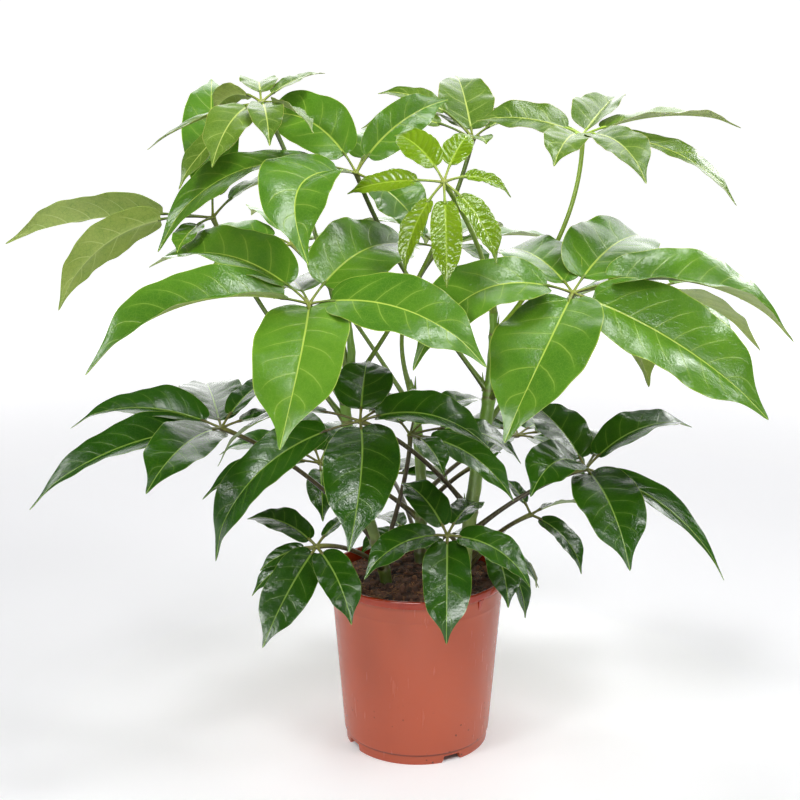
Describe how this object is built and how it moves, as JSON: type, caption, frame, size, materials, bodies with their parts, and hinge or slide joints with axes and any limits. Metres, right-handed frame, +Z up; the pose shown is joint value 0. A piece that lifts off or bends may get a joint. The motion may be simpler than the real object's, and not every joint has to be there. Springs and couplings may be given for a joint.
{
  "type": "potted umbrella plant",
  "caption": "Bushy umbrella plant: upright green stems carry long-stalked leaves of radiating pointed leaflets above dark soil in a tapered terracotta-coloured nursery pot.",
  "frame": {"origin": "on the floor, under the middle of the whole plant seen from above; the pot's axis stands 27 mm towards +X and 47 mm towards -Y of it", "axes": "+Z up along the stems, -Y towards the viewer of the picture, +X to that viewer's right"},
  "size_m": [1.0231, 0.7099, 0.8938],
  "materials": {
    "pot_plastic": "satin terracotta-coloured moulded plastic",
    "potting_soil": "rough fibrous peat soil",
    "stem_bark": "smooth green bark with brown leaf scars",
    "upper_leaf": "glossy mid-green leaf with yellow-green veins",
    "old_leaf": "glossy dark green leaf",
    "young_leaf": "very glossy, quilted yellow-green leaf"
  },
  "bodies": {
    "root": {"pot": "pot_plastic", "soil": "potting_soil", "stem_right": "stem_bark", "stem_left": "stem_bark", "stem_back": "stem_bark", "leaf_front_left": "upper_leaf", "leaf_front_right": "upper_leaf", "leaf_young": "young_leaf", "leaf_top_left": "upper_leaf", "leaf_left": "upper_leaf", "leaf_top": "upper_leaf", "leaf_top_middle": "upper_leaf", "leaf_top_right": "upper_leaf", "leaf_low_right": "old_leaf", "leaf_small_right": "old_leaf", "leaf_low_left": "old_leaf", "leaf_front": "old_leaf", "leaf_middle": "old_leaf", "leaf_low_front": "old_leaf", "leaf_low_front_left": "old_leaf", "leaf_low_behind": "old_leaf", "leaf_inner": "old_leaf", "leaf_small_middle": "old_leaf", "leaf_back_pale": "upper_leaf", "leaf_back_left": "upper_leaf", "leaf_back_right": "upper_leaf", "leaf_low_back_left": "old_leaf", "leaf_low_back_right": "old_leaf", "leaf_low_back": "old_leaf"}
  },
  "joints": []
}
